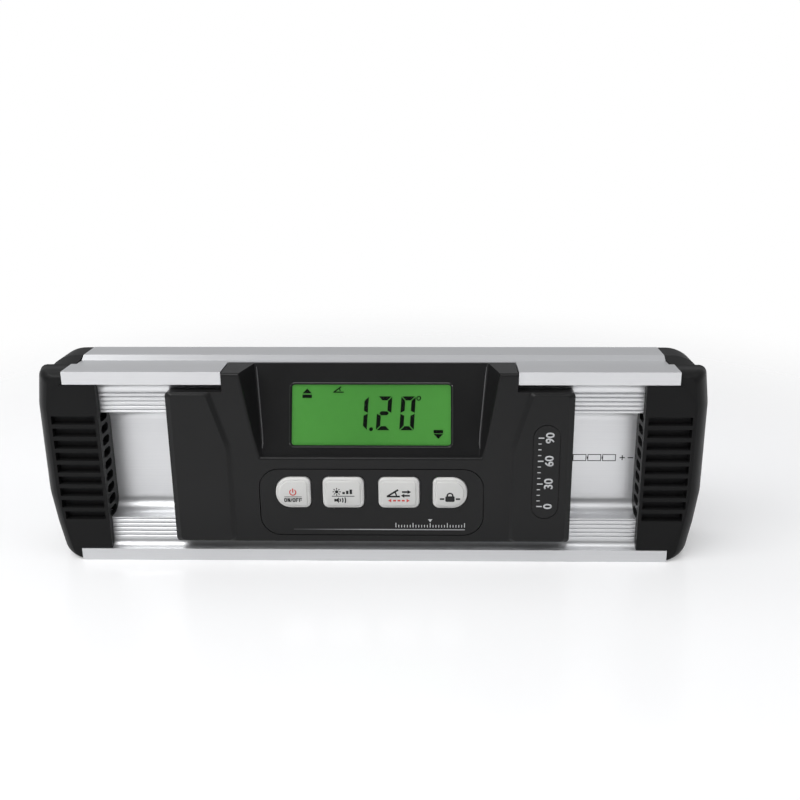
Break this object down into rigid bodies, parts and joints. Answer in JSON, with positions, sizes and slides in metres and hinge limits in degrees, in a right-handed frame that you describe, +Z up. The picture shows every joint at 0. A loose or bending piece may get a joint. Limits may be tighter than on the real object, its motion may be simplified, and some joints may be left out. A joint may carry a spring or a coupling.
{
  "type": "digital inclinometer",
  "caption": "Short digital level: fluted hollow aluminium beam with slotted black end caps and a tilted lit display with keys, for reading the angle of a surface.",
  "frame": {"origin": "centre of the overall box, on the plane of the measuring base", "axes": "+X along the beam to the right as the display is read, +Y to the back, +Z up"},
  "size_m": [0.2344, 0.0306, 0.0717],
  "materials": {
    "anodised_aluminium": "fine satin anodised extrusion",
    "cap_plastic": "black moulded plastic, fine texture",
    "module_plastic": "black moulded plastic, smooth satin",
    "key_rubber": "pale warm grey, satin",
    "clear_window": "clear, polished",
    "display_glass": "green lit, dark segments",
    "light_guide": "pale diffusing guide",
    "inner_plastic": "plain",
    "circuit_board": "green solder mask",
    "chip_black": "moulded package",
    "inlay_film": "dark film, smooth",
    "foam_seal": "closed-cell foam",
    "zinc_steel": "zinc plated",
    "plated_magnet": "nickel plated",
    "cell_sleeve": "sleeved dry cell",
    "contact_brass": "plated spring contact"
  },
  "bodies": {
    "level": {"beam": "anodised_aluminium", "end_cap_left": "cap_plastic", "end_cap_right": "cap_plastic", "display_housing": "module_plastic", "keypad_bezel": "module_plastic", "lcd_window": "clear_window", "lcd_panel": "display_glass", "backlight": "light_guide", "lcd_frame": "inner_plastic", "key_switches": "inner_plastic", "buzzer": "inner_plastic", "battery_tube": "inner_plastic", "main_board": "circuit_board", "tilt_sensor": "chip_black", "controller_chip": "chip_black", "label_inlay": "inlay_film", "housing_gasket": "foam_seal", "battery_cap_seal": "foam_seal", "housing_screws": "zinc_steel", "end_cap_screws": "zinc_steel", "base_magnets": "plated_magnet", "battery_cells": "cell_sleeve", "battery_contact_inner": "contact_brass"},
    "power_key": {"key_power": "key_rubber", "switch_plunger_power": "inner_plastic"},
    "light_key": {"key_light": "key_rubber", "switch_plunger_light": "inner_plastic"},
    "mode_key": {"key_mode": "key_rubber", "switch_plunger_mode": "inner_plastic"},
    "hold_key": {"key_hold": "key_rubber", "switch_plunger_hold": "inner_plastic"},
    "battery_door": {"battery_cap": "cap_plastic", "battery_cap_contact": "contact_brass"}
  },
  "joints": [
    {"name": "power_press", "type": "slide", "parent": "level", "child": "power_key", "axis": [0, 1, 0], "range_m": [0, 0.0007], "stiffness_N_per_m": 2000},
    {"name": "light_press", "type": "slide", "parent": "level", "child": "light_key", "axis": [0, 1, 0], "range_m": [0, 0.0007], "stiffness_N_per_m": 2000},
    {"name": "mode_press", "type": "slide", "parent": "level", "child": "mode_key", "axis": [0, 1, 0], "range_m": [0, 0.0007], "stiffness_N_per_m": 2000},
    {"name": "hold_press", "type": "slide", "parent": "level", "child": "hold_key", "axis": [0, 1, 0], "range_m": [0, 0.0007], "stiffness_N_per_m": 2000},
    {"name": "battery_cap_turn", "type": "hinge", "parent": "level", "child": "battery_door", "pos_m": [0.1172, 0.00695, 0.03515], "axis": [1, 0, 0], "range_deg": [0, 90]}
  ]
}
